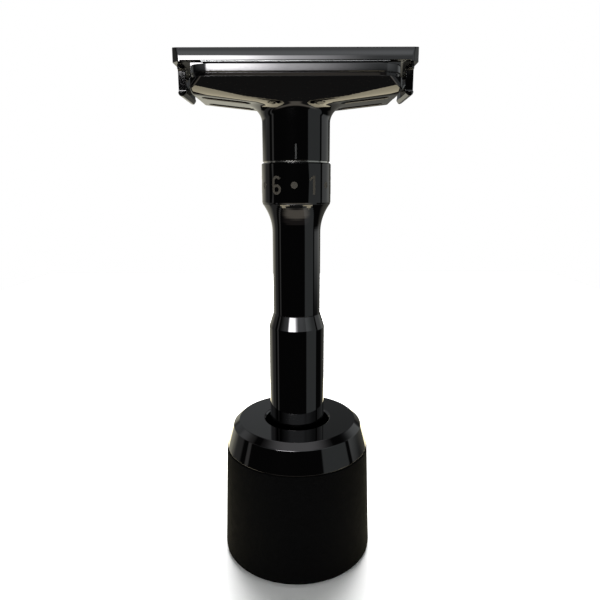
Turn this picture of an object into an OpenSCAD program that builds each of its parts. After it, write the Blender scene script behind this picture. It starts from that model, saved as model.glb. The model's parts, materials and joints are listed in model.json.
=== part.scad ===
// Adjustable double-edge safety razor standing in its weighted round stand.
// +Z is up the handle, -Y is the front of the head, where the index mark is.
// The origin is the middle of the stand's foot. All sizes are in millimetres.

/* [Stand] */
// Radius of the stand at its foot
stand_r = 18.2; // [17.8:0.1:20]
// Radius of the soft sleeve where it meets the metal ring
sleeve_top_r = 17.3; // [17.1:0.1:17.6]
// Height of the soft sleeve's top edge
sleeve_h = 26.9; // [24:0.1:28]
// Height of the whole stand
stand_h = 33.6; // [32:0.1:36]
// Radius of the hole in the metal ring
socket_r = 7.7; // [7.4:0.1:8.2]
// Height of the pad that the handle stands on
socket_floor = 5.4; // [4.6:0.1:7]

/* [Handle] */
// Radius of the lower grip
grip_r = 6.55; // [6.3:0.05:6.7]
// Radius of the slim part of the handle
slim_r = 5.5; // [5.2:0.05:5.8]
// Radius of the numbered dial collar
collar_r = 7.75; // [7.6:0.05:8]
// Height where the grip starts to taper
grip_top = 56.9; // [50:0.1:60]
// Length of the grip's taper
grip_taper = 3.2; // [2:0.1:4]
// Height where the slim part starts to flare
flare_z = 79; // [76:0.1:80]
// Height of the collar's lower edge
collar_z = 85.6; // [85:0.1:86]
// Height of the collar's upper edge
collar_top = 94.38; // [94:0.01:94.5]

/* [Dial] */
// Height of a numeral
digit_h = 4; // [3:0.1:4.4]
// Width of a numeral's stroke
stroke = 0.56; // [0.4:0.02:0.7]
// Radius of the dot between two numerals
dot_r = 0.73; // [0.5:0.01:0.9]
// Depth of the paint in a mark
paint_depth = 0.15; // [0.1:0.01:0.25]
// Degrees that the dial turns from its first dot to the last numeral
dial_travel = 330; // [300:1:332]
// Degrees from the index mark to the first dot, negative to the left
dial_rest = -2.8; // [-4:0.1:4]

/* [Head] */
// Radius of the neck
neck_r = 7.5; // [7.3:0.05:7.6]
// Height of the neck's lower edge
neck_z = 94.7; // [94.6:0.05:95]
// Half the length of the guard plate
plate_x = 21.4; // [21:0.05:21.45]
// Distance from the middle to the guard bar's front face
bar_y = 12.3; // [12:0.05:12.6]
// Height of the guard bar's top
bar_top = 113; // [112.8:0.05:113.1]
// Height of the guard bar's lower edge
bar_bottom = 111.42; // [111.3:0.01:111.6]
// Height where the sloping faces start
slope_top = 110.9; // [110.6:0.05:111]
// Distance from the middle to the lower ridge of the sloping faces
ridge_y = 7.05; // [6.8:0.05:7.3]
// Rise of the arms' underside towards the ends, per millimetre
arm_rise = 0.113; // [0.08:0.001:0.14]

/* [Blade and cap] */
// Length of the blade
blade_l = 43; // [42.8:0.05:43]
// Width of the blade, laid flat
blade_w = 22; // [21.8:0.05:22.1]
// Thickness of the blade
blade_t = 0.1; // [0.08:0.01:0.12]
// Height of the middle of the clamped blade
blade_crown = 115.15; // [115:0.05:115.3]
// Radius that the blade is bent to
blade_bend = 40.4; // [36:0.1:60]
// Half the length of the cap
cap_x = 24.7; // [24.65:0.05:25]
// Half the width of the cap
cap_y = 10.5; // [10.2:0.05:10.7]
// Height of the cap's top in the middle
cap_top = 117.4; // [117:0.05:117.8]
// Height of the cap's front upper edge
cap_edge = 116.3; // [116:0.05:116.5]
// Half the width of a claw
claw_y = 6.05; // [5.6:0.05:6.6]
// Height of the claws' lower end
claw_bottom = 107.8; // [107.4:0.05:108.2]

/* [Hidden] */
$fn = 96;

eps = 0.01;            // overshoot of a cutting solid
run_fit = 0.06;        // radial clearance of a piece that turns or slides in another
bend_gap = 0.08;       // gap between the blade and the curved faces on each side of it

// Stand
pad_t = 1.6;           // foot pad
pad_r = 16.6;
weight_r = 15.5;
liner_r = 7.1;         // inside of the socket liner
liner_wall = 1.5;
liner_z = socket_floor - 0.8;
screw_ring_r = 12;
screw_r = 1.25;
screw_head_r = 2.2;
screw_top = 31;
ring_r = 17.15;
ring_shoulder = [15.6, 32.3];
ring_edge = [14.1, stand_h];

// Handle
razor_z = socket_floor + 0.1;
cap_joint_z = 9.5;     // where the end cap meets the grip
grip_end = grip_top + grip_taper;
core_r = 4.6;          // rod inside the grip sleeve
core_bore = 3;
nut_r = 4.4;
nut_z = 79.6;
nut_h = 6.2;
spigot_top = 89;       // top of the handle's spigot inside the collar
spigot_r = 6.6;
web_z = 91.3;          // lower face of the collar's web
flare_angle = 2 * atan((collar_r - slim_r) / (collar_z - flare_z));
flare_r = (collar_z - flare_z) / sin(flare_angle);
digit_z = 89.6;

// Neck and the pieces inside it
neck_spigot_r = 5.5;
neck_spigot_z = 89.5;
clip_z = 90.2;
clip_t = 0.8;
clip_groove_r = 4.9;
pin_r = 0.5;
pin_ring_r = 6.65;
pin_z = 93;
track_w = 1.2;
track_depth = 1.8;
stud_r = 2.5;
stud_bottom = 73;
thread_z = 76;
thread_turns = 13;
thread_pitch = 1;
thread_root = 2.2;
chamber_r = 4.4;
chamber_z = 99;
spring_wire = 0.35;
spring_mean_r = 3.45;
spring_turns = 6;
spring_sides = 8;
spring_steps = 16;     // rings in one turn

// Guard plate and arms
arm_inner_x = 10.48;   // where the arms' underside meets its fillet
arm_inner_z = 106.63;
fillet_steps = 6;
corner = [2.65, 2.2];  // cut-off plan corner of the plate, along X and along Y
groove_top = bar_bottom;
groove_z = 111.2;
tray_y = 9.6;
tray_z = 110.4;
slot_x = [9.6, 19.7];
slot_y = [3.2, 6.2];

// Blade bed, blade and cap
bed_x = 21.1;
bed_y = 9.3;
bed_z = 110.6;
boss_r = 4.2;
boss_z = 108.4;
post_x = 15.5;
post_r = 1.15;
post_top = 116;
stud_head_r = 1.9;     // upper end of the lifting stud
stud_shoulder = bed_z + 1.4;
channel_y = 4.7;       // middle of a lather channel in the bed
channel_size = [4.6, 1.2];
bend_z = blade_crown - blade_bend;
tab_y = 7.4;           // half width of the blade's end tabs
edge_x = 18.7;         // half length of the blade's cutting edges
cap_corner = 1.3;
crown_r = (pow(cap_y, 2) + pow(cap_top - cap_edge, 2)) / (2 * (cap_top - cap_edge));
claw_in = 22.95;
claw_out = 24.6;
claw_waist = 1.05;     // how far the middle of a claw's front and back is set in
claw_round = 0.9;
claw_bevel = 0.57;     // on the inner lower edge
claw_corner = 0.45;    // on the upright edges
waist_z = [claw_bottom + 1, claw_bottom + 5.4];
leaf_t = 0.22;
leaf_y = 2.5;
leaf_z = bed_z + 1.9;
reach_x = 30;          // longer than half the head, for solids that run right through it

// ---------------------------------------------------------------- helpers

module ring(r_out, r_in, z0, z1) {
    translate([0, 0, z0]) difference() {
        cylinder(r = r_out, h = z1 - z0);
        translate([0, 0, -eps]) cylinder(r = r_in, h = z1 - z0 + 2 * eps);
    }
}

module rod(r, z0, z1) {
    translate([0, 0, z0]) cylinder(r = r, h = z1 - z0);
}

module both_ends() {
    children();
    mirror([1, 0, 0]) children();
}

// A block centred on the Z axis.
module block(x, y, z0, z1) {
    translate([-x, -y, z0]) cube([2 * x, 2 * y, z1 - z0]);
}

// A 2D shape drawn in X and Z, extruded a half width each way along Y.
module along_y(half) {
    translate([0, half, 0]) rotate([90, 0, 0]) linear_extrude(2 * half) children();
}

// Part of a flat ring between two angles, of less than a full turn.
module arc(r, a0, a1) {
    steps = 12;
    difference() {
        circle(r = r + stroke / 2, $fn = 64);
        circle(r = r - stroke / 2, $fn = 64);
        reach = 3 * r;
        polygon(concat([[0, 0]],
            [for (i = [0 : steps]) let (a = a1 + i * (a0 + 360 - a1) / steps)
                reach * [cos(a), sin(a)]]));
    }
}

// ---------------------------------------------------------------- stand

module foot_pad() {
    color([0.06, 0.06, 0.06]) rotate_extrude()
        polygon([[0, 0], [pad_r - 0.4, 0], [pad_r, 0.4], [pad_r, pad_t], [0, pad_t]]);
}

module stand_sleeve() {
    lift = 0.3;
    color([0.03, 0.03, 0.035]) rotate_extrude() polygon([
        [pad_r + 0.1, lift], [stand_r - 0.3, lift], [stand_r, lift + 0.4],
        [sleeve_top_r, sleeve_h - 0.25], [sleeve_top_r - 0.25, sleeve_h],
        [weight_r, sleeve_h], [weight_r, pad_t], [pad_r + 0.1, pad_t]
    ]);
}

module screw_places() {
    for (a = [90, 210, 330]) rotate(a) translate([screw_ring_r, 0, 0]) children();
}

module stand_weight() {
    color([0.45, 0.45, 0.47]) difference() {
        rod(weight_r, pad_t, sleeve_h);
        rod(liner_r + liner_wall, liner_z, sleeve_h + 1);
        screw_places() {
            rod(screw_head_r + 0.2, pad_t - 1, 4);
            rod(screw_r + 0.15, pad_t - 1, sleeve_h + 1);
        }
    }
}

module stand_top_ring() {
    chamfer = 0.45;
    color([0.05, 0.05, 0.055]) difference() {
        rotate_extrude() polygon([
            [socket_r, sleeve_h], [ring_r - 0.2, sleeve_h], [ring_r, sleeve_h + 0.2],
            ring_shoulder, ring_edge, [socket_r + chamfer, stand_h],
            [socket_r, stand_h - chamfer]
        ]);
        screw_places() rod(screw_r, sleeve_h - 1, screw_top);
    }
}

module stand_screws() {
    color([0.5, 0.5, 0.5]) screw_places() {
        difference() {
            rod(screw_head_r, pad_t + 0.1, 4);
            translate([0, 0, pad_t]) cylinder(r = 1.1, h = 1.2, $fn = 6);
        }
        rod(screw_r, 4, screw_top);
    }
}

module socket_liner() {
    color([0.09, 0.09, 0.09]) ring(liner_r + liner_wall, liner_r, liner_z, sleeve_h);
}

module socket_pad() {
    color([0.12, 0.12, 0.12]) rod(liner_r, liner_z, socket_floor);
}

// ---------------------------------------------------------------- handle

module end_cap() {
    color([0.05, 0.05, 0.055]) rotate_extrude() polygon([
        [0, razor_z], [grip_r - 0.8, razor_z], [grip_r - 0.1, razor_z + 0.7],
        [grip_r - 0.1, cap_joint_z], [core_bore, cap_joint_z], [core_bore, cap_joint_z + 5],
        [0, cap_joint_z + 5]
    ]);
}

module grip_sleeve() {
    color([0.04, 0.04, 0.045]) rotate_extrude() polygon([
        [core_r, cap_joint_z], [grip_r - 0.15, cap_joint_z], [grip_r, cap_joint_z + 0.15],
        [grip_r, grip_top], [slim_r + 0.05, grip_end], [core_r, grip_end]
    ]);
}

module handle_core() {
    flare = [for (i = [0 : 16]) let (a = flare_angle * i / 16)
        [slim_r + flare_r * (1 - cos(a)), flare_z + flare_r * sin(a)]];
    color([0.05, 0.05, 0.055]) rotate_extrude() polygon(concat(
        [[core_bore, cap_joint_z], [core_r, cap_joint_z], [core_r, grip_end],
         [slim_r, grip_end]],
        flare,
        [[spigot_r, collar_z], [spigot_r, spigot_top], [nut_r, spigot_top],
         [nut_r, nut_z], [core_bore, nut_z]]
    ));
}

module adjust_nut() {
    color([0.72, 0.55, 0.3]) difference() {
        rod(nut_r, nut_z, nut_z + nut_h);
        rod(stud_r + run_fit, nut_z - 1, nut_z + nut_h + 1);
    }
}

// The stop track: an open ring around the collar's top, in which the stop pin runs.
module stop_track() {
    margin = 1.4 * asin(pin_r / pin_ring_r);
    z0 = collar_top - track_depth;
    translate([0, 0, z0]) rotate(-90 - margin)
        rotate_extrude(angle = dial_travel + 2 * margin)
            translate([pin_ring_r - track_w / 2, 0]) square([track_w, track_depth + 1]);
}

module dial_collar() {
    edge = 0.25;
    color([0.05, 0.05, 0.055]) difference() {
        rotate_extrude() polygon([
            [spigot_r, collar_z], [collar_r - edge / 2, collar_z],
            [collar_r, collar_z + edge], [collar_r, collar_top - edge],
            [collar_r - edge, collar_top], [neck_spigot_r + run_fit, collar_top],
            [neck_spigot_r + run_fit, web_z], [spigot_r, web_z]
        ]);
        stop_track();
        dial_shapes(collar_r + 1);
    }
}

// Numerals, each drawn about the middle of its own height.
half_h = digit_h / 2;
bowl = 0.82;           // centre-line radius of the round parts

module digit_one() {
    translate([0.1, -half_h]) square([stroke, digit_h]);
    polygon([[0.15, half_h], [0.66, half_h], [-0.55, half_h - 1.15],
             [-0.78, half_h - 0.85]]);
}

module digit_two() {
    top = half_h - stroke / 2 - bowl;
    translate([0, top]) arc(bowl, -35, 175);
    polygon([[bowl * cos(-35) + 0.24, top - 0.5], [bowl * cos(-35) - 0.22, top - 0.2],
             [-1.1, -half_h + 0.2], [-1.1, -half_h], [-0.5, -half_h]]);
    translate([-1.1, -half_h]) square([2.2, stroke]);
}

module digit_three() {
    for (side = [-1, 1]) translate([0, side * (half_h - stroke / 2 - bowl)])
        arc(bowl, side > 0 ? -90 : -160, side > 0 ? 160 : 90);
    translate([-0.35, -stroke / 2]) square([0.5, stroke]);
}

module digit_four() {
    translate([0.25, -half_h]) square([stroke, digit_h]);
    translate([-1.2, -0.95]) square([2.4, stroke]);
    polygon([[0.25, half_h], [0.75, half_h], [-0.6, -0.7], [-1.2, -0.7],
             [-1.2, -0.45]]);
}

module digit_five() {
    low = -half_h + stroke / 2 + bowl + 0.12;
    translate([0, low]) arc(bowl + 0.12, -150, 140);
    translate([-0.95, low + 0.35]) square([stroke, half_h - low - 0.35]);
    translate([-0.95, half_h - stroke]) square([1.75, stroke]);
}

module digit_six() {
    low = -half_h + stroke / 2 + bowl;
    difference() {
        translate([0, low]) circle(r = bowl + stroke / 2);
        translate([0, low]) circle(r = bowl - stroke / 2);
    }
    translate([0, half_h - stroke / 2 - bowl]) arc(bowl, 30, 180);
    translate([-bowl - stroke / 2, low]) square([stroke, 2 * (half_h - stroke / 2 - bowl)]);
}

module digit(n) {
    if (n == 1) digit_one();
    if (n == 2) digit_two();
    if (n == 3) digit_three();
    if (n == 4) digit_four();
    if (n == 5) digit_five();
    if (n == 6) digit_six();
}

// One mark on the collar: what a 2D shape cuts out of the collar's skin.
module mark(angle, r_out) {
    r_in = collar_r - paint_depth;
    intersection() {
        ring(r_out, r_in, collar_z + 1, collar_top - 1);
        rotate(angle) translate([0, -slim_r, digit_z]) rotate([90, 0, 0])
            linear_extrude(collar_r) children();
    }
}

// Six numerals and six dots around the collar, from the paint's depth out to a radius.
module dial_shapes(r_out) {
    for (n = [0 : 5]) {
        mark(dial_rest + 60 * n, r_out) circle(r = dot_r, $fn = 48);
        mark(dial_rest + 60 * n + 30, r_out) digit(n + 1);
    }
}

module dial_markings() {
    color([0.7, 0.66, 0.6]) dial_shapes(collar_r + 0.02);
}

// ---------------------------------------------------------------- head

// Height of the arms' underside at a distance from the middle.
function arm_z(x) = arm_inner_z + arm_rise * (x - arm_inner_x);

// The fillet between the arms' underside and the neck, from the arm inwards.
arm_angle = atan(arm_rise);
fillet_x = neck_r - 0.15;  // just inside the neck, so that nothing is tangent to it
fillet_r = (arm_inner_x - fillet_x) / (1 - sin(arm_angle));
fillet = [for (i = [0 : fillet_steps]) let (a = (90 + arm_angle) + (90 - arm_angle) * i / fillet_steps)
    [fillet_x + fillet_r + fillet_r * cos(a),
     arm_z(arm_inner_x) - fillet_r * cos(arm_angle) + fillet_r * sin(a)]];

// Distance out to the sloping face's lower edge, which narrows as it drops below the ridge.
function low_y(z) = ridge_y - max(0, arm_inner_z - z) * 0.95;

// Sections of the arms from the -X end to the +X end: [x, top edge y, low edge y, low edge z].
skirt_y = bar_y - 0.15;
arm_half = concat(
    [[plate_x, skirt_y - corner[1], ridge_y, arm_z(plate_x)],
     [plate_x - corner[0], skirt_y, ridge_y, arm_z(plate_x - corner[0])]],
    [for (p = fillet) [p[0], skirt_y, low_y(p[1]), p[1]]]);
arm_sections = concat([for (s = arm_half) [-s[0], s[1], s[2], s[3]]],
    [for (i = [len(arm_half) - 1 : -1 : 0]) arm_half[i]]);

// The body under the guard bar: faces that slope in from the bar to the lower ridge.
module arms() {
    n = len(arm_sections);
    points = [for (s = arm_sections) each [
        [s[0], -s[1], slope_top], [s[0], -s[2], s[3]], [s[0], s[2], s[3]],
        [s[0], s[1], slope_top]]];
    sides = [for (i = [0 : n - 2], j = [0 : 3]) let (a = 4 * i, k = (j + 1) % 4)
        each [[a + j, a + 4 + k, a + k], [a + j, a + 4 + j, a + 4 + k]]];
    last = 4 * (n - 1);
    ends = [[0, 2, 3], [0, 1, 2], [last, last + 2, last + 1], [last, last + 3, last + 2]];
    polyhedron(points, concat(ends, sides));
}

// Plan of the guard plate, with its corners cut off.
module plate_outline(inset) {
    x = plate_x - inset / 3;
    y = bar_y - inset;
    polygon([for (s = [[1, 1], [-1, 1], [-1, -1], [1, -1]])
        each (s[0] * s[1] > 0
            ? [[s[0] * x, s[1] * (y - corner[1])], [s[0] * (x - corner[0]), s[1] * y]]
            : [[s[0] * (x - corner[0]), s[1] * y], [s[0] * x, s[1] * (y - corner[1])]])]);
}

module plate_layer(inset, z0, z1) {
    translate([0, 0, z0]) linear_extrude(z1 - z0) plate_outline(inset);
}

// A slot with round ends through an arm.
module rinse_slot() {
    r = (slot_y[1] - slot_y[0]) / 2;
    turn = [for (i = [0 : 8]) let (a = -90 + 22.5 * i) r * [cos(a), sin(a)]];
    translate([0, slot_y[0] + r, arm_inner_z - 1]) linear_extrude(6) polygon(concat(
        [for (p = turn) [slot_x[1] - r + p[0], p[1]]],
        [for (p = turn) [slot_x[0] + r - p[0], -p[1]]]));
}

module guard_head() {
    color([0.05, 0.05, 0.055]) difference() {
        union() {
            arms();
            plate_layer(0.15, slope_top, groove_z);
            plate_layer(0.4, groove_z, groove_top);
            plate_layer(0, bar_bottom, bar_top);
            rod(neck_r, neck_z, slope_top);
            rod(neck_spigot_r, neck_spigot_z, neck_z);
        }
        block(plate_x + 1, tray_y, tray_z, bar_top + 1);
        rod(chamber_r, chamber_z, tray_z + 1);
        rod(stud_r + run_fit, neck_spigot_z - 1, chamber_z + 1);
        ring(neck_spigot_r + 1, clip_groove_r, clip_z, clip_z + clip_t);
        translate([0, -pin_ring_r, neck_z - 1]) cylinder(r = pin_r, h = 2.6);
        for (y = [0, 1]) mirror([0, y, 0]) both_ends() rinse_slot();
        index_shape(neck_r + 1);
    }
}

module index_shape(r_out) {
    intersection() {
        ring(r_out, neck_r - 0.2, neck_z + 0.3, neck_z + 3.4);
        translate([-0.16, -r_out - 1, neck_z]) cube([0.32, r_out, 4]);
    }
}

module index_mark() {
    color([0.5, 0.5, 0.5]) index_shape(neck_r + 0.01);
}

module stop_pin() {
    color([0.6, 0.6, 0.62]) translate([0, -pin_ring_r, pin_z])
        cylinder(r = pin_r, h = neck_z + 1.6 - pin_z);
}

module thrust_washer() {
    color([0.75, 0.73, 0.68]) difference() {
        ring(neck_r - 0.2, neck_spigot_r + run_fit, collar_top + 0.02, neck_z);
        translate([0, -pin_ring_r, collar_top - 1]) cylinder(r = pin_r, h = 3);
    }
}

module retaining_ring() {
    opening = 40;
    color([0.55, 0.55, 0.58]) translate([0, 0, clip_z + 0.05]) rotate(90 + opening / 2)
        rotate_extrude(angle = 360 - opening)
            translate([clip_groove_r, 0]) square([1.45, clip_t - 0.1]);
}

// A round wire wound between two heights, as rings of points joined by triangles.
module coil(mean_r, wire_r, z0, z1, turns) {
    n = turns * spring_steps;
    points = [for (i = [0 : n], j = [0 : spring_sides - 1])
        let (a = 360 * i / spring_steps, b = 360 * j / spring_sides,
             r = mean_r + wire_r * cos(b), z = z0 + (z1 - z0) * i / n + wire_r * sin(b))
        [r * cos(a), r * sin(a), z]];
    sides = [for (i = [0 : n - 1], j = [0 : spring_sides - 1])
        let (a = i * spring_sides, k = (j + 1) % spring_sides)
        each [[a + j, a + spring_sides + j, a + spring_sides + k],
              [a + j, a + spring_sides + k, a + k]]];
    first = [for (j = [0 : spring_sides - 1]) j];
    last = [for (j = [spring_sides - 1 : -1 : 0]) n * spring_sides + j];
    polyhedron(points, concat([first, last], sides));
}

module return_spring() {
    color([0.6, 0.6, 0.62]) coil(spring_mean_r, spring_wire,
        chamber_z + spring_wire + 0.1, boss_z - 0.7 - spring_wire, spring_turns);
}

// ---------------------------------------------------------------- blade carrier

module lift_stud() {
    thread = [for (i = [0 : thread_turns - 1]) each [
        [thread_root, thread_z + (i + 0.1) * thread_pitch],
        [stud_r, thread_z + (i + 0.4) * thread_pitch],
        [stud_r, thread_z + (i + 0.6) * thread_pitch],
        [thread_root, thread_z + (i + 0.9) * thread_pitch]]];
    color([0.6, 0.6, 0.62]) rotate_extrude() polygon(concat(
        [[0, stud_bottom], [thread_root, stud_bottom]],
        thread,
        [[stud_r, thread_z + thread_turns * thread_pitch], [stud_r, stud_shoulder],
         [stud_head_r, stud_shoulder], [stud_head_r, post_top - 0.3],
         [stud_head_r - 0.3, post_top], [0, post_top]]
    ));
}

module spring_seat() {
    color([0.6, 0.6, 0.62]) ring(chamber_r - 0.3, stud_r, boss_z - 0.6, boss_z);
}

// Snap ring in the stud, under the spring's seat.
module seat_clip() {
    opening = 60;
    color([0.5, 0.5, 0.52]) translate([0, 0, boss_z - 0.95]) rotate(90 + opening / 2)
        rotate_extrude(angle = 360 - opening)
            translate([stud_r, 0]) square([0.4, 0.35]);
}

// Everything under the blade's lower face, as a solid along X.
module under_bend(r) {
    translate([-reach_x, 0, bend_z]) rotate([0, 90, 0])
        cylinder(r = r, h = 2 * reach_x, $fn = 180);
}

module blade_bed() {
    color([0.08, 0.08, 0.085]) difference() {
        union() {
            intersection() {
                difference() {
                    block(bed_x, bed_y, bed_z, blade_crown + 1);
                    // Channels that carry lather down to the rinse slots
                    for (x = [-1, 1], y = [-1, 1])
                        translate([x * (slot_x[0] + slot_x[1]) / 2, y * channel_y, 0])
                            block(channel_size[0], channel_size[1], bed_z - 1, blade_crown);
                }
                under_bend(blade_bend - blade_t / 2 - bend_gap);
            }
            for (x = [-post_x, post_x]) translate([x, 0, 0]) rod(post_r, bed_z, post_top);
            rod(boss_r, boss_z, bed_z + 1);
        }
        rod(stud_r, boss_z - 1, stud_shoulder);
        rod(stud_head_r, bed_z, blade_crown + 2);
    }
}

// A leaf bent down over the guard plate's end, bulging out against the claw.
module cap_spring() {
    // Each corner of the outer side, out from the bed and down, and the way to the inner side.
    corners = [[0, 0], [0.75, 0], [0.85, -1.2], [1.75, -2.6], [0.8, -4]];
    inward = [[0, 1], [1, 1], [1, 0], [1, 0], [1, 0.5]];
    start = [bed_x, leaf_z];
    color([0.62, 0.62, 0.65]) along_y(leaf_y) polygon(concat(
        [for (c = corners) start + c],
        [for (i = [len(corners) - 1 : -1 : 0]) start + corners[i] - leaf_t * inward[i]]));
}

module cap_spring_right() {
    cap_spring();
}

module cap_spring_left() {
    mirror([1, 0, 0]) cap_spring();
}

// ---------------------------------------------------------------- blade and cap

module blade_outline() {
    x = blade_l / 2;
    difference() {
        union() {
            square([2 * edge_x, blade_w], center = true);
            square([blade_l, 2 * tab_y], center = true);
        }
        square([37, 1.1], center = true);
        for (s = [-1, 0, 1]) translate([s * post_x, 0])
            circle(r = s == 0 ? 2.35 : post_r + 0.35);
        for (s = [-1, 1]) translate([s * post_x / 2, 0]) circle(r = 1.4);
        for (s = [-1, 1]) translate([s * (x + 0.4), 0]) circle(r = 1.6);
    }
}

module blade() {
    r = blade_bend;
    color([0.75, 0.76, 0.78]) intersection() {
        translate([0, 0, blade_crown - 4]) linear_extrude(6) blade_outline();
        difference() {
            under_bend(r + blade_t / 2);
            under_bend(r - blade_t / 2);
        }
    }
}

// One claw in X and Z: a straight leg down past the plate's end.
module claw_profile() {
    foot_x = claw_out - claw_round;
    turn = [for (i = [0 : 6]) let (a = -90 + 15 * i)
        [foot_x + claw_round * cos(a), claw_bottom + claw_round * (1 + sin(a))]];
    polygon(concat(
        [[claw_in, cap_edge - 1], [claw_in, claw_bottom + claw_bevel],
         [claw_in + claw_bevel, claw_bottom]],
        turn, [[claw_out, cap_edge - 1]]));
}

module claw() {
    c = claw_corner;
    y = claw_y;
    difference() {
        intersection() {
            along_y(y + 1) claw_profile();
            // Plan with its corners cut off, past the profile's sides
            translate([0, 0, claw_bottom - 1]) linear_extrude(cap_top - claw_bottom) polygon([
                [claw_in - 1, c + 1 - y], [claw_in + c, -y], [claw_out - c, -y],
                [claw_out + 1, c + 1 - y], [claw_out + 1, y - c - 1], [claw_out - c, y],
                [claw_in + c, y], [claw_in - 1, y - c - 1]]);
        }
        for (s = [-1, 1]) translate([0, s * claw_y, 0])
            block(reach_x, claw_waist, waist_z[0], waist_z[1]);
    }
}

module cap() {
    x = cap_x;
    y = cap_y;
    c = cap_corner;
    color([0.06, 0.06, 0.065]) difference() {
        union() {
            intersection() {
                translate([0, 0, blade_crown - 4]) linear_extrude(8) polygon([
                    [x, y - c], [x - c, y], [c - x, y], [-x, y - c],
                    [-x, c - y], [c - x, -y], [x - c, -y], [x, c - y]]);
                translate([-reach_x, 0, cap_top - crown_r]) rotate([0, 90, 0])
                    cylinder(r = crown_r, h = 2 * reach_x, $fn = 180);
            }
            both_ends() claw();
        }
        intersection() {
            under_bend(blade_bend + blade_t / 2 + bend_gap);
            block(claw_in, cap_y + 1, blade_crown - 6, blade_crown + 1);
        }
        difference() {
            block(cap_x + 1, cap_y + 1, blade_crown - 6, cap_edge - 2.4);
            both_ends() claw();
        }
        rod(2.15, blade_crown - 1, post_top + 0.25);
        for (s = [-1, 1]) translate([s * post_x, 0, 0])
            rod(post_r + 0.2, blade_crown - 1, post_top + 0.25);
    }
}

foot_pad();
stand_sleeve();
stand_weight();
stand_top_ring();
stand_screws();
socket_liner();
socket_pad();
end_cap();
grip_sleeve();
handle_core();
adjust_nut();
dial_collar();
dial_markings();
guard_head();
index_mark();
stop_pin();
thrust_washer();
retaining_ring();
return_spring();
lift_stud();
spring_seat();
seat_clip();
blade_bed();
cap_spring_left();
cap_spring_right();
blade();
cap();
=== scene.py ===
import json
import math

import bpy
import numpy as np
from mathutils import Matrix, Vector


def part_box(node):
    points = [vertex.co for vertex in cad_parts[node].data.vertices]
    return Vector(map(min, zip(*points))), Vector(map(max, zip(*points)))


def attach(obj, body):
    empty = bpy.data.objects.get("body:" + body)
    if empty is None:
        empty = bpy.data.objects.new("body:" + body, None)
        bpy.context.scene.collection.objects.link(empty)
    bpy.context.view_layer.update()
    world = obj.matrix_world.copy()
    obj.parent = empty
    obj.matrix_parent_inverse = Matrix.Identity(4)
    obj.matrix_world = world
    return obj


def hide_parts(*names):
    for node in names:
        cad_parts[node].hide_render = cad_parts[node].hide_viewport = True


# Looks of an adjustable safety razor in its stand. Shapes are in millimetres until they become meshes.
# +Z is up the handle, -Y is the front of the head, and X runs along the blade.

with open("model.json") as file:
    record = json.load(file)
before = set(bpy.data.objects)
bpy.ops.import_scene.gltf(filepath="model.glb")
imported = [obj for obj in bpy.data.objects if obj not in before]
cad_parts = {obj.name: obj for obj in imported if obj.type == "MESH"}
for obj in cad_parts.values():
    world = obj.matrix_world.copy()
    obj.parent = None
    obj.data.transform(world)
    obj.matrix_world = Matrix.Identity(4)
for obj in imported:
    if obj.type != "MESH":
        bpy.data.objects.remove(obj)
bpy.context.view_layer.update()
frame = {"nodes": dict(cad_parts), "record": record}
NODES = frame["nodes"]
MM = 0.001


# ------------------------------------------------------------------ sizes from the frame

def node_box(name):
    """The lowest and highest corner of a CAD node, in millimetres."""
    low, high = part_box(name)
    return np.array(low) / MM, np.array(high) / MM


head_low, head_high = node_box("guard_head")
cap_low, cap_high = node_box("cap")
sleeve_low, sleeve_high = node_box("stand_sleeve")
ring_low, ring_high = node_box("stand_top_ring")
pad_low, pad_high = node_box("foot_pad")
grip_low, grip_high = node_box("grip_sleeve")
core_low, core_high = node_box("handle_core")
end_low, end_high = node_box("end_cap")
collar_low, collar_high = node_box("dial_collar")

plate_x, bar_y, bar_top = head_high
NECK_R = 7.5
NECK_BOTTOM = 94.7
SPIGOT_R = 5.5
BORE_R = 2.56
CHAMBER_R, CHAMBER_Z = 4.4, 99.0
CLIP_R, CLIP_Z = 4.9, (90.2, 91.0)    # groove for the retaining ring
SLOPE_TOP, SLOPE_IN = 110.7, 0.34  # where the arms' sloping faces start, in from the bar's front
STRIP_LEAN = math.tan(math.radians(25))   # of the strip under the guard bar
SLOPE_TILT = math.radians(43.1)   # of the sloping faces' normal, below level
RIDGE_ROUND = (0.8, 1.64)     # rounding of the ridge, beside the neck and at the arms' ends
ARM_IN, ARM_Z, ARM_RISE = 10.48, 106.63, 0.113
CORNER_X, CORNER_Y = 2.65, 2.2    # cut-off plan corner of the guard plate
BAR_BOTTOM, GROOVE_Z = 111.42, 111.26
TRAY_Y, TRAY_Z = 9.6, 110.4
SLOT_MID, SLOT_HALF, SLOT_Y, SLOT_R = 14.65, 3.55, 4.7, 1.5

CROWN_R = 50.66               # of the cap's top
FACE_R, FACE_Z = 5.5, 114.3   # of the cap's front face, upright below that height
BEND_R, BEND_Z = 40.53, 74.75     # of the cap's hollow underside
CLAW_IN, CLAW_OUT, CLAW_Y = 22.95, 24.6, 6.05
CLAW_BEVEL, CLAW_CORNER, CLAW_WAIST = 0.57, 0.45, 1.05
CLAW_ROUND = 0.9              # of a claw's outer lower corner
WAIST = (cap_low[2] + 1, cap_low[2] + 5.4)    # heights of the part that is set in
PLATE_BOTTOM = 113.7          # lowest height of the cap's plate
POST_X, POST_R, STUD_R, POST_TOP = 15.5, 1.35, 2.15, 116.25   # holes for the posts and stud


# ------------------------------------------------------------------ shapes as distances

def both(a, b, r):
    """What lies inside a and inside b, with the edge between them rounded."""
    edge = np.hypot(np.maximum(r + a, 0), np.maximum(r + b, 0))
    return np.minimum(-r, np.maximum(a, b)) + edge


def either(a, b, r):
    """What lies inside a or inside b, with a fillet where they meet."""
    fillet = np.hypot(np.maximum(r - a, 0), np.maximum(r - b, 0))
    return np.maximum(r, np.minimum(a, b)) - fillet


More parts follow.
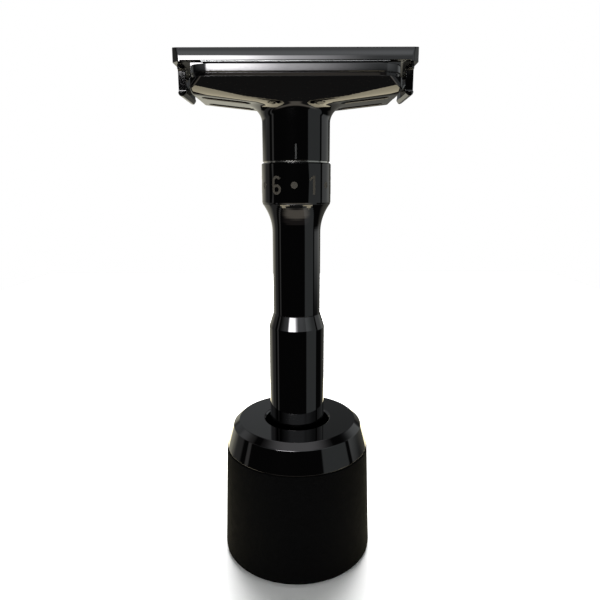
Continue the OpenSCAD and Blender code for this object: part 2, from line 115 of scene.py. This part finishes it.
def between(v, low, high):
    return np.abs(v - (low + high) / 2) - (high - low) / 2


def cut_corner(x, y, reach_x, reach_y, cut_x, cut_y):
    """A plan corner cut off straight."""
    return ((x - reach_x + cut_x) * cut_y + (y - reach_y) * cut_x) / math.hypot(cut_x, cut_y)


def arm_shape(x, y, z):
    """The two arms: faces that slope in to a rounded ridge, over an underside that rises outwards."""
    face = (y - bar_y + SLOPE_IN) * math.cos(SLOPE_TILT) - (z - SLOPE_TOP) * math.sin(SLOPE_TILT)
    underside = (ARM_Z + ARM_RISE * (x - ARM_IN) - z) / math.hypot(1, ARM_RISE)
    along = np.clip((x - ARM_IN) / (plate_x - ARM_IN), 0, 1)
    body = both(face, underside, RIDGE_ROUND[0] + (RIDGE_ROUND[1] - RIDGE_ROUND[0]) * along)
    body = both(body, x - plate_x, 0.5)
    body = both(body, cut_corner(x, y, plate_x, bar_y - 0.15, CORNER_X, CORNER_Y), 0.35)
    return np.maximum(body, z - SLOPE_TOP)


def plate_shape(x, y, z):
    """The guard bar, the groove under it and the thin strip under that."""
    plan = both(x - plate_x, y - bar_y, 0.05)
    plan = both(plan, cut_corner(x, y, plate_x, bar_y, CORNER_X, CORNER_Y), 1.6)
    bar = both(plan, between(z, BAR_BOTTOM, bar_top), 0.14)
    groove = np.maximum(plan + 0.4, between(z, GROOVE_Z - 0.1, BAR_BOTTOM + 0.1))
    leaning = plan + 0.15 + STRIP_LEAN * (GROOVE_Z - z)
    strip = both(leaning, between(z, SLOPE_TOP - 0.1, GROOVE_Z), 0.05)
    return np.minimum(np.minimum(bar, groove), strip)


def head_shape(x, y, z):
    """The guard head in one piece, with its neck, spigot, tray, bores and rinse slots."""
    ax, ay, rho = np.abs(x), np.abs(y), np.hypot(x, y)
    neck = both(rho - NECK_R, NECK_BOTTOM - z, 0.12)
    neck = np.maximum(neck, z - SLOPE_TOP)
    sideways = np.clip(ax / NECK_R, 0, 1) ** 2
    shape = either(arm_shape(ax, ay, z), neck, 0.7 + 2.6 * sideways)
    shape = np.minimum(shape, plate_shape(ax, ay, z))
    tray = np.maximum(ay - TRAY_Y, TRAY_Z - z)
    shape = both(shape, -tray, 0.1)
    end = np.hypot(np.maximum(np.abs(ax - SLOT_MID) - SLOT_HALF, 0), ay - SLOT_Y)
    shape = both(shape, SLOT_R - end, 0.25)
    spigot = np.maximum(rho - SPIGOT_R, between(z, head_low[2], NECK_BOTTOM + 1))
    clip_groove = np.maximum(CLIP_R - rho, between(z, *CLIP_Z))
    shape = np.minimum(shape, np.maximum(spigot, -clip_groove))
    shape = np.maximum(shape, -np.maximum(rho - CHAMBER_R, CHAMBER_Z - z))
    return np.maximum(shape, BORE_R - rho)


def claw_shape(x, y, z):
    """A straight leg down past the plate's end, its front and back set in between two heights."""
    low = cap_low[2]
    shape = both(x - CLAW_OUT, low - z, CLAW_ROUND)
    bevel = (CLAW_IN + CLAW_BEVEL - x + low - z) / math.sqrt(2)
    shape = both(both(shape, CLAW_IN - x, 0.08), bevel, 0.08)
    shape = both(shape, y - CLAW_Y, 0.08)
    shape = both(shape, (x - CLAW_OUT + y - CLAW_Y + CLAW_CORNER) / math.sqrt(2), 0.1)
    shape = both(shape, (CLAW_IN - x + y - CLAW_Y + CLAW_CORNER) / math.sqrt(2), 0.1)
    waist = both(CLAW_Y - CLAW_WAIST - y, between(z, *WAIST), 0.3)
    return np.maximum(both(shape, -waist, 0.12), z - cap_high[2] + 1.4)


def cap_shape(x, y, z):
    """The cap: a crowned plate, hollow underneath to bend the blade, with a claw at each end."""
    ax, ay = np.abs(x), np.abs(y)
    reach_x, reach_y, top = cap_high
    crown = np.hypot(y, z - top + CROWN_R) - CROWN_R
    front = np.hypot(np.maximum(ay - reach_y + FACE_R, 0), np.maximum(z - FACE_Z, 0)) - FACE_R
    plate = both(crown, front, 0.2)
    plate = both(plate, ax - reach_x, 0.15)
    plate = both(plate, cut_corner(ax, ay, reach_x, reach_y, 1.3, 1.3), 0.2)
    plate = np.maximum(plate, PLATE_BOTTOM - z)
    hollow = np.maximum(np.hypot(y, z - BEND_Z) - BEND_R, ax - CLAW_IN)
    plate = both(plate, -hollow, 0.06)
    post = np.minimum(np.hypot(x, y) - STUD_R, np.hypot(ax - POST_X, y) - POST_R)
    plate = np.maximum(plate, -np.maximum(post, z - POST_TOP))
    return np.minimum(plate, claw_shape(ax, ay, z))


# ------------------------------------------------------------------ meshes

def stops(*spans):
    """Grid planes: each span is (end, step), and the first starts at the number given."""
    at = spans[0]
    planes = [at]
    for end, step in spans[1:]:
        n = max(1, round((end - at) / step))
        planes += list(np.linspace(at, end, n + 1)[1:])
        at = end
    return np.array(planes)


def mirrored(planes):
    return np.concatenate([-planes[:0:-1], planes])


def gradient(shape, p, h=0.004):
    parts = []
    for axis in range(3):
        step = np.zeros(3)
        step[axis] = h
        parts.append(shape(*(p + step).T) - shape(*(p - step).T))
    return np.array(parts).T / (2 * h)


def new_mesh(name, points, faces, normals):
    mesh = bpy.data.meshes.new(name)
    mesh.from_pydata((points * MM).tolist(), [], faces)
    mesh.shade_smooth()
    length = np.linalg.norm(normals, axis=1, keepdims=True)
    mesh.normals_split_custom_set_from_vertices((normals / length).tolist())
    mesh.update()
    piece = bpy.data.objects.new(name, mesh)
    bpy.context.scene.collection.objects.link(piece)
    return piece


def skin(name, shape, xs, ys, zs):
    """A closed mesh of where shape(x, y, z) is zero, with a point in each cell that it crosses."""
    grid = shape(xs[:, None, None], ys[None, :, None], zs[None, None, :])
    solid = grid < 0
    corners = [(i, j, k) for i in (0, 1) for j in (0, 1) for k in (0, 1)]
    size = [n - 1 for n in grid.shape]

    def shifted(a, c):
        return a[c[0]:c[0] + size[0], c[1]:c[1] + size[1], c[2]:c[2] + size[2]]

    count = sum(shifted(solid, c).astype(int) for c in corners)
    cells = np.argwhere((count > 0) & (count < 8))
    index = -np.ones(size, int)
    index[tuple(cells.T)] = np.arange(len(cells))

    axes = (xs, ys, zs)
    low = np.array([axes[a][cells[:, a]] for a in range(3)]).T
    high = np.array([axes[a][cells[:, a] + 1] for a in range(3)]).T
    values = {c: grid[tuple((cells + c).T)] for c in corners}
    total, crossings = np.zeros((len(cells), 3)), np.zeros((len(cells), 1))
    for c in corners:
        for axis in range(3):
            if c[axis]:
                continue
            d = tuple(v + (a == axis) for a, v in enumerate(c))
            a, b = values[c], values[d]
            crossed = (a < 0) != (b < 0)
            t = np.where(crossed, a / np.where(crossed, a - b, 1), 0)
            where = low + (high - low) * np.array(c)
            where[:, axis] += (high - low)[:, axis] * t
            total += where * crossed[:, None]
            crossings += crossed[:, None]
    points = total / crossings
    for _ in range(4):
        slope = gradient(shape, points)
        steep = np.maximum((slope ** 2).sum(1), 0.2)
        points -= slope * (shape(*points.T) / steep)[:, None]
        room = (high - low) * 0.35
        points = np.clip(points, low - room, high + room)

    faces = []
    for axis in range(3):
        u, v = (axis + 1) % 3, (axis + 2) % 3
        first = [slice(None)] * 3
        second = [slice(None)] * 3
        first[axis], second[axis] = slice(0, -1), slice(1, None)
        for a in (u, v):
            first[a] = second[a] = slice(1, -1)
        before, after = solid[tuple(first)], solid[tuple(second)]
        edges = np.argwhere(before != after)
        out = before[tuple(edges.T)]
        base = edges.copy()
        base[:, u] += 1
        base[:, v] += 1
        ring = []
        for du, dv in ((1, 1), (0, 1), (0, 0), (1, 0)):
            cell = base.copy()
            cell[:, u] -= du
            cell[:, v] -= dv
            ring.append(index[tuple(cell.T)])
        quads = np.array(ring).T
        quads[~out] = quads[~out][:, ::-1]
        faces += quads.tolist()
    return new_mesh(name, points, faces, gradient(shape, points))


def rounded(outline, arc_steps=6):
    """An outline of (radius, height, rounding) with its corners as arcs: points, and their normals."""
    points, normals = [], []
    n = len(outline)
    for i in range(n):
        before, here, after = (np.array(outline[(i + k) % n][:2], float) for k in (-1, 0, 1))
        r = outline[i][2]
        into = (here - before) / np.linalg.norm(here - before)
        out = (after - here) / np.linalg.norm(after - here)
        turn = math.atan2(into[0] * out[1] - into[1] * out[0], into @ out)
        side = math.copysign(1, turn)
        back = abs(r * math.tan(turn / 2))
        start = here - into * back
        centre = start + side * r * np.array([-into[1], into[0]])
        for k in range(arc_steps + 1):
            angle = turn * k / arc_steps
            normal = np.array([into[1], -into[0]])
            c, s = math.cos(angle), math.sin(angle)
            normal = np.array([normal[0] * c - normal[1] * s, normal[0] * s + normal[1] * c])
            points.append(centre + side * r * normal)
            normals.append(normal)
    return points, normals


def turned(name, outline, around=192):
    """A closed turned piece, from an outline drawn anticlockwise in radius and height."""
    profile, bends = rounded(outline)
    angles = np.arange(around) * 2 * math.pi / around
    c, s = np.cos(angles), np.sin(angles)
    points, normals = [], []
    for (r, z), (nr, nz) in zip(profile, bends):
        r = max(r, 0.01)
        points.append(np.array([r * c, r * s, np.full(around, z)]).T)
        normals.append(np.array([nr * c, nr * s, np.full(around, nz)]).T)
    m = len(profile)
    faces = []
    for i in range(m):
        a, b = i * around, ((i + 1) % m) * around
        for j in range(around):
            k = (j + 1) % around
            faces.append((a + j, a + k, b + k, b + j))
    return new_mesh(name, np.concatenate(points), faces, np.concatenate(normals))


# ------------------------------------------------------------------ materials

def node_maker(tree):
    """A function that adds a node, sets its properties and links or sets its inputs."""
    def add(kind, inputs=None, **properties):
        node = tree.nodes.new(kind)
        for key, value in properties.items():
            setattr(node, key, value)
        for key, value in (inputs or {}).items():
            if isinstance(value, bpy.types.NodeSocket):
                tree.links.new(value, node.inputs[key])
            else:
                node.inputs[key].default_value = value
        return node
    return add


def object_space(add, turned_marks):
    """Where the surface is: plain, or as radius and height on a turned piece."""
    place = add("ShaderNodeTexCoord").outputs["Object"]
    if not turned_marks:
        return place
    part = add("ShaderNodeSeparateXYZ", {0: place})
    flat = add("ShaderNodeCombineXYZ", {0: part.outputs[0], 1: part.outputs[1]})
    radius = add("ShaderNodeVectorMath", {0: flat.outputs[0]}, operation="LENGTH")
    return add("ShaderNodeCombineXYZ", {0: radius.outputs["Value"], 2: part.outputs[2]}).outputs[0]


def finish(name, colour, metallic, rough, grain, tone=0.12, bump=0.02, bump_scale=None,
           stretch=(1, 1, 1), turned_marks=False, specular=0.5, sheen=0.0, detail=4.0):
    """A surface finish: colour and roughness vary with a fine grain, over a shallow relief.

    rough is the lowest and highest roughness, grain the grain's size in millimetres."""
    material = bpy.data.materials.new(name)
    material.use_nodes = True
    tree = material.node_tree
    tree.nodes.clear()
    add = node_maker(tree)
    place = add("ShaderNodeMapping", {0: object_space(add, turned_marks), 3: stretch}).outputs[0]
    scale = 1 / (grain * MM)
    grit = add("ShaderNodeTexNoise", {"Vector": place, "Scale": scale, "Detail": detail})
    cloud = add("ShaderNodeTexNoise", {"Vector": place, "Scale": scale / 14, "Detail": 3.0})
    mixed = add("ShaderNodeMath", {0: grit.outputs[0], 1: cloud.outputs[0]}, operation="ADD")
    half = add("ShaderNodeMath", {0: mixed.outputs[0], 1: 0.5}, operation="MULTIPLY")
    roughness = add("ShaderNodeMapRange", {0: half.outputs[0], 1: 0.35, 2: 0.65,
                                          3: rough[0], 4: rough[1]})
    dark = [c * (1 - tone) for c in colour] + [1]
    light = [min(1, c * (1 + tone)) for c in colour] + [1]
    shade = add("ShaderNodeMix", {0: half.outputs[0], 6: dark, 7: light}, data_type="RGBA")
    relief_scale = scale if bump_scale is None else 1 / (bump_scale * MM)
    relief = add("ShaderNodeTexNoise", {"Vector": place, "Scale": relief_scale, "Detail": 3.0})
    normal = add("ShaderNodeBump", {"Strength": bump, "Distance": 0.1 * MM,
                                    "Height": relief.outputs[0]})
    shader = add("ShaderNodeBsdfPrincipled", {
        "Base Color": shade.outputs[2], "Roughness": roughness.outputs[0],
        "Normal": normal.outputs[0], "Metallic": metallic,
        "Specular IOR Level": specular, "Sheen Weight": sheen})
    add("ShaderNodeOutputMaterial", {0: shader.outputs[0]})
    return material


BLACK = (0.110, 0.108, 0.112)
MATERIALS = {
    "black_gloss": finish("black_gloss", BLACK, 1.0, (0.03, 0.06), 0.35, tone=0.05,
                          bump=0.006, bump_scale=1.6),
    "soft_sleeve": finish("soft_sleeve", (0.0018, 0.0018, 0.0019), 0.0, (0.75, 0.92), 0.12,
                          tone=0.5, bump=0.35, bump_scale=0.16, specular=0.03),
    "foot_rubber": finish("foot_rubber", (0.018, 0.018, 0.018), 0.0, (0.7, 0.9), 0.3,
                          tone=0.3, bump=0.3),
    "liner_plastic": finish("liner_plastic", (0.02, 0.02, 0.021), 0.0, (0.45, 0.6), 0.3,
                            tone=0.2, bump=0.12),
    "plain_steel": finish("plain_steel", (0.42, 0.42, 0.43), 1.0, (0.28, 0.42), 0.15,
                          tone=0.15, bump=0.15, turned_marks=True),
    "zinc_steel": finish("zinc_steel", (0.6, 0.61, 0.63), 1.0, (0.24, 0.38), 0.2,
                         tone=0.12, bump=0.08),
    "spring_steel": finish("spring_steel", (0.5, 0.5, 0.52), 1.0, (0.14, 0.26), 0.2,
                           tone=0.1, bump=0.05),
    "washer_steel": finish("washer_steel", (0.72, 0.71, 0.68), 1.0, (0.12, 0.24), 0.15,
                           tone=0.08, bump=0.05, turned_marks=True),
    "blade_steel": finish("blade_steel", (0.35, 0.355, 0.365), 1.0, (0.2, 0.38), 0.12,
                          tone=0.1, bump=0.08, stretch=(0.04, 1, 1)),
    "bronze": finish("bronze", (0.65, 0.47, 0.25), 1.0, (0.2, 0.34), 0.15,
                     tone=0.12, bump=0.1, turned_marks=True),
    # The numerals' paint is set far darker than its own cream colour, to stand for the shade it sits
    # in: painted shade.
    "mark_paint": finish("mark_paint", (0.06, 0.054, 0.044), 0.0, (0.45, 0.6), 0.15,
                         tone=0.15, bump=0.08, specular=0.2),
    # The index mark is an engraved line; its grey fill stands for the groove catching light: a painted
    # highlight.
    "index_paint": finish("index_paint", (0.03, 0.03, 0.03), 0.0, (0.4, 0.55), 0.15,
                          tone=0.15, bump=0.08),
}


def paint(piece, slot):
    """Gives a piece or a CAD node the whole of one finish."""
    piece.data.materials.clear()
    piece.data.materials.append(MATERIALS[slot])
    for polygon in piece.data.polygons:
        polygon.material_index = 0


# ------------------------------------------------------------------ stage, light, camera

def make_flat(name, half_x, front, back, height, colour):
    """A level sheet with a faint mottle."""
    n = 12
    xs, ys = np.linspace(-half_x, half_x, n), np.linspace(front, back, n)
    points = np.array([[x, y, height] for y in ys for x in xs])
    faces = [(j * n + i, j * n + i + 1, (j + 1) * n + i + 1, (j + 1) * n + i)
             for j in range(n - 1) for i in range(n - 1)]
    sheet = new_mesh(name, points, faces, np.tile([0.0, 0.0, 1.0], (len(points), 1)))
    sheet.data.materials.append(finish(name, colour, 0.0, (0.7, 0.85), 6.0, tone=0.02, bump=0.02))
    return sheet


def make_floor():
    """A pale floor, and the warm card round the stand that the polished faces reflect."""
    floor = make_flat("floor", 260, -130, 430, -0.3, (0.92, 0.92, 0.92))
    floor.visible_glossy = False
    card = make_flat("warm_card", 58, -27, 110, -0.2, (0.88, 0.80, 0.56))
    card.visible_camera = False
    card.visible_diffuse = False
    card.visible_shadow = False


def ramp(add, value, low, high, rising):
    """A smooth step from 0 to 1 between two values, or from 1 to 0."""
    ends = (0, 1) if rising else (1, 0)
    return add("ShaderNodeMapRange", {0: value, 1: low, 2: high, 3: ends[0], 4: ends[1]},
               interpolation_type="SMOOTHSTEP").outputs[0]


# Soft light round the razor: azimuth from the front, positive to the right, and elevation, each
# with two edges in degrees, how softly it fades sideways, below and above, colour, strength.
PANELS = [
    ((-34, -5), (11, 21), (4, 0.2, 3), (1.0, 1.0, 0.98), 10.0),
    ((-34, 2), (11, 21), (6, 0.2, 3), (1.0, 1.0, 1.0), 3.2),
    ((-60, 60), (11, 40), (20, 0.2, 8), (0.95, 1.0, 1.0), 0.3),
    ((-35, 35), (22, 60), (12, 7, 7), (0.95, 1.0, 1.0), 0.45),
    ((41, 88), (-70, 45), (1.5, 12, 12), (0.92, 1.0, 0.98), 0.2),
    ((96, 141), (-10, 30), (1.5, 5, 8), (0.95, 1.0, 0.97), 0.36),
    ((-179, -110), (8, 40), (10, 4, 8), (0.95, 1.0, 1.0), 0.22),
    ((110, 179), (8, 40), (10, 4, 8), (0.95, 1.0, 1.0), 0.1),
    ((-60, 60), (-40, -26), (20, 2, 2), (1.0, 0.88, 0.8), 0.06),
    ((-88, -81), (-70, 45), (1.5, 12, 12), (1.0, 1.0, 0.95), 0.2),
    ((-125, -100), (-70, 45), (3, 12, 12), (1.0, 1.0, 0.95), 0.12),
    ((-179, -125), (-35, 4), (10, 4, 4), (1.0, 0.97, 0.8), 0.6),
    ((125, 179), (-35, 4), (10, 4, 4), (1.0, 0.98, 0.85), 0.14),
    ((-60, 60), (-62, -40), (20, 4, 4), (1.0, 0.92, 0.75), 0.5),
    ((-179, 179), (-89, -62), (1, 5, 5), (1.0, 1.0, 0.95), 0.035),
    ((-179, 179), (60, 89), (1, 10, 10), (1.0, 1.0, 1.0), 0.5),
]


def make_light():
    """White where the camera looks past the object, and soft panels for everything else."""
    world = bpy.data.worlds.new("studio")
    bpy.context.scene.world = world
    world.use_nodes = True
    tree = world.node_tree
    tree.nodes.clear()
    add = node_maker(tree)
    part = add("ShaderNodeSeparateXYZ", {0: add("ShaderNodeTexCoord").outputs["Generated"]})
    back = add("ShaderNodeMath", {0: part.outputs[1], 1: -1.0}, operation="MULTIPLY")
    azimuth = add("ShaderNodeMath", {0: part.outputs[0], 1: back.outputs[0]}, operation="ARCTAN2")
    elevation = add("ShaderNodeMath", {0: part.outputs[2]}, operation="ARCSINE")
    around = add("ShaderNodeMath", {0: azimuth.outputs[0]}, operation="DEGREES").outputs[0]
    up = add("ShaderNodeMath", {0: elevation.outputs[0]}, operation="DEGREES").outputs[0]
    total = None
    for sides, heights, fades, colour, strength in PANELS:
        share = None
        for value, edge, fade, rising in (
                (around, sides[0], fades[0], True), (around, sides[1], fades[0], False),
                (up, heights[0], fades[1], True), (up, heights[1], fades[2], False)):
            if abs(edge) >= 179:
                continue
            step = ramp(add, value, edge - fade, edge + fade, rising)
            if share is not None:
                step = add("ShaderNodeMath", {0: share, 1: step}, operation="MULTIPLY").outputs[0]
            share = step
        glow = add("ShaderNodeVectorMath", {0: [c * strength for c in colour], "Scale": share},
                   operation="SCALE").outputs[0]
        if total is not None:
            glow = add("ShaderNodeVectorMath", {0: total, 1: glow}, operation="ADD").outputs[0]
        total = glow
    dim = add("ShaderNodeVectorMath", {0: total, 1: (0.012, 0.012, 0.012)}, operation="ADD")
    seen = add("ShaderNodeBackground", {"Color": (1, 1, 1, 1), "Strength": 1.0})
    felt = add("ShaderNodeBackground", {"Color": dim.outputs[0], "Strength": 1.0})
    path = add("ShaderNodeLightPath")
    mix = add("ShaderNodeMixShader", {0: path.outputs["Is Camera Ray"], 1: felt.outputs[0],
                                      2: seen.outputs[0]})
    add("ShaderNodeOutputWorld", {0: mix.outputs[0]})


def make_lamp(name, place, size, power):
    """A soft square lamp, aimed just behind the stand and not seen in reflections."""
    lamp = bpy.data.lights.new(name, "AREA")
    lamp.shape = "SQUARE"
    lamp.size = size * MM
    lamp.energy = power
    held = bpy.data.objects.new(name, lamp)
    held.visible_glossy = False
    bpy.context.scene.collection.objects.link(held)
    place = np.array(place, float)
    aim = np.array([0, 60, 20]) - place
    yaw = math.atan2(aim[0], -aim[1])
    tilt = math.atan2(math.hypot(aim[0], aim[1]), -aim[2])
    held.matrix_world = (Matrix.Translation(place * MM) @ Matrix.Rotation(yaw + math.pi, 4, "Z")
                         @ Matrix.Rotation(tilt, 4, "X"))


def make_camera():
    """Level with the numerals, a hand's breadth in front, and tilted down to the stand."""
    side, distance, height = math.radians(0.5), 125, 89.6
    tilt, aim_right, roll = math.radians(12), math.radians(0.36), math.radians(-0.12)
    lens = bpy.data.cameras.new("camera")
    lens.sensor_width = 36
    lens.lens = 32.4
    lens.clip_start = 0.005
    camera = bpy.data.objects.new("camera", lens)
    bpy.context.scene.collection.objects.link(camera)
    place = np.array([distance * math.sin(side), -distance * math.cos(side), height]) * MM
    camera.matrix_world = (Matrix.Translation(place) @ Matrix.Rotation(side - aim_right, 4, "Z")
                           @ Matrix.Rotation(math.pi / 2 - tilt, 4, "X")
                           @ Matrix.Rotation(roll, 4, "Z"))
    bpy.context.scene.camera = camera


# ------------------------------------------------------------------ pieces

def stand_for(piece, node, body, slot):
    """The piece takes a CAD node's place, body and finish."""
    paint(piece, slot)
    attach(piece, body)
    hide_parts(node)


def make_head():
    xs = mirrored(stops(0, (7, 0.35), (11, 0.25), (18, 0.6), (18.7, 0.25), (plate_x + 0.2, 0.1)))
    ys = mirrored(stops(0, (3.1, 0.35), (6.3, 0.16), (9.5, 0.25), (9.7, 0.05), (11.7, 0.25),
                        (bar_y + 0.1, 0.05)))
    zs = stops(head_low[2] - 0.3, (90.1, 0.3), (91.1, 0.1), (94.5, 0.6), (95, 0.05), (103, 0.5),
               (110.2, 0.2), (110.8, 0.1), (bar_top + 0.1, 0.045))
    head = skin("guard_head_shell", head_shape, xs, ys, zs)
    stand_for(head, "guard_head", "head", "black_gloss")


def make_cap():
    xs = mirrored(stops(0, (13.9, 0.5), (17.1, 0.2), (22.7, 0.5), (cap_high[0] + 0.1, 0.07)))
    ys = mirrored(stops(0, (4.6, 0.35), (6.2, 0.07), (9.0, 0.3), (cap_high[1] + 0.1, 0.06)))
    zs = stops(cap_low[2] - 0.1, (109.2, 0.07), (112.8, 0.3), (113.4, 0.07),
               (cap_high[2] + 0.12, 0.055))
    cap = skin("cap_shell", cap_shape, xs, ys, zs)
    stand_for(cap, "cap", "cap", "black_gloss")


def make_stand():
    pad_r, pad_t = pad_high[0], pad_high[2]
    pad = turned("foot_pad_disc", [
        (0, 0, 0), (pad_r - 0.2, 0, 0.5), (pad_r, pad_t, 0.1), (0, pad_t, 0)])
    stand_for(pad, "foot_pad", "stand", "foot_rubber")

    low, top = sleeve_low[2], sleeve_high[2]
    foot_r, top_r, inner = sleeve_high[0], 17.3, 15.5
    sleeve = turned("stand_sleeve_skin", [
        (pad_r + 0.1, low, 0.1), (foot_r - 0.05, low, 0.6), (foot_r, low + 1.2, 0.6),
        (top_r, top, 0.3), (inner, top, 0.05), (inner, pad_t, 0.05), (pad_r + 0.1, pad_t, 0.05)])
    stand_for(sleeve, "stand_sleeve", "stand", "soft_sleeve")

    low, top, hole = ring_low[2], ring_high[2], 7.7
    ring = turned("stand_ring_shell", [
        (hole, low, 0.05), (17.15, low, 0.2), (15.6, 32.3, 0.35), (14.1, top, 0.3),
        (hole + 0.35, top, 0.25), (hole, top - 0.4, 0.2)], around=256)
    stand_for(ring, "stand_top_ring", "stand", "black_gloss")


def make_handle():
    low, top, r = end_low[2], end_high[2], end_high[0]
    joint = grip_low[2]
    cap = turned("end_cap_plug", [
        (0, low, 0), (r, low, 0.7), (r, joint, 0.1), (3, joint, 0.05), (3, top, 0.3), (0, top, 0)])
    stand_for(cap, "end_cap", "handle", "black_gloss")

    low, top, r, core_r, slim_r = grip_low[2], grip_high[2], grip_high[0], 4.6, 5.5
    grip = turned("grip_tube", [
        (core_r, low, 0.05), (r, low, 0.15), (r, 56.9, 0.8), (slim_r + 0.05, top, 0.12),
        (core_r, top, 0.05)])
    stand_for(grip, "grip_sleeve", "handle", "black_gloss")

    flare_low, flare_top, flare_out = 79.0, collar_low[2], collar_high[0]
    angle = 2 * math.atan((flare_out - slim_r) / (flare_top - flare_low))
    radius = (flare_top - flare_low) / math.sin(angle)
    steps = 14
    flare = [(slim_r + radius * (1 - math.cos(angle * i / steps)),
              flare_low + radius * math.sin(angle * i / steps), 0.1 if i in (0, steps) else 1.0)
             for i in range(steps + 1)]
    nut_r, nut_z, bore = 4.4, 79.6, 3.0
    spigot_r, spigot_top = 6.6, core_high[2]
    core = turned("handle_core_tube", [
        (bore, core_low[2], 0.05), (core_r, core_low[2], 0.1), (core_r, top, 0.05),
        (slim_r, top, 0.1), *flare, (spigot_r, flare_top, 0.05), (spigot_r, spigot_top, 0.1),
        (nut_r, spigot_top, 0.1), (nut_r, nut_z, 0.1), (bore, nut_z, 0.1)])
    stand_for(core, "handle_core", "handle", "black_gloss")


make_camera()
make_light()
make_lamp("back_lamp", (0, 330, 430), 420, 9.0)
make_floor()
for part in frame["record"]["subparts"]:
    paint(NODES[part["node"]], part["material_slot"])
make_head()
make_cap()
make_stand()
make_handle()
bpy.context.scene.view_settings.view_transform = "Standard"
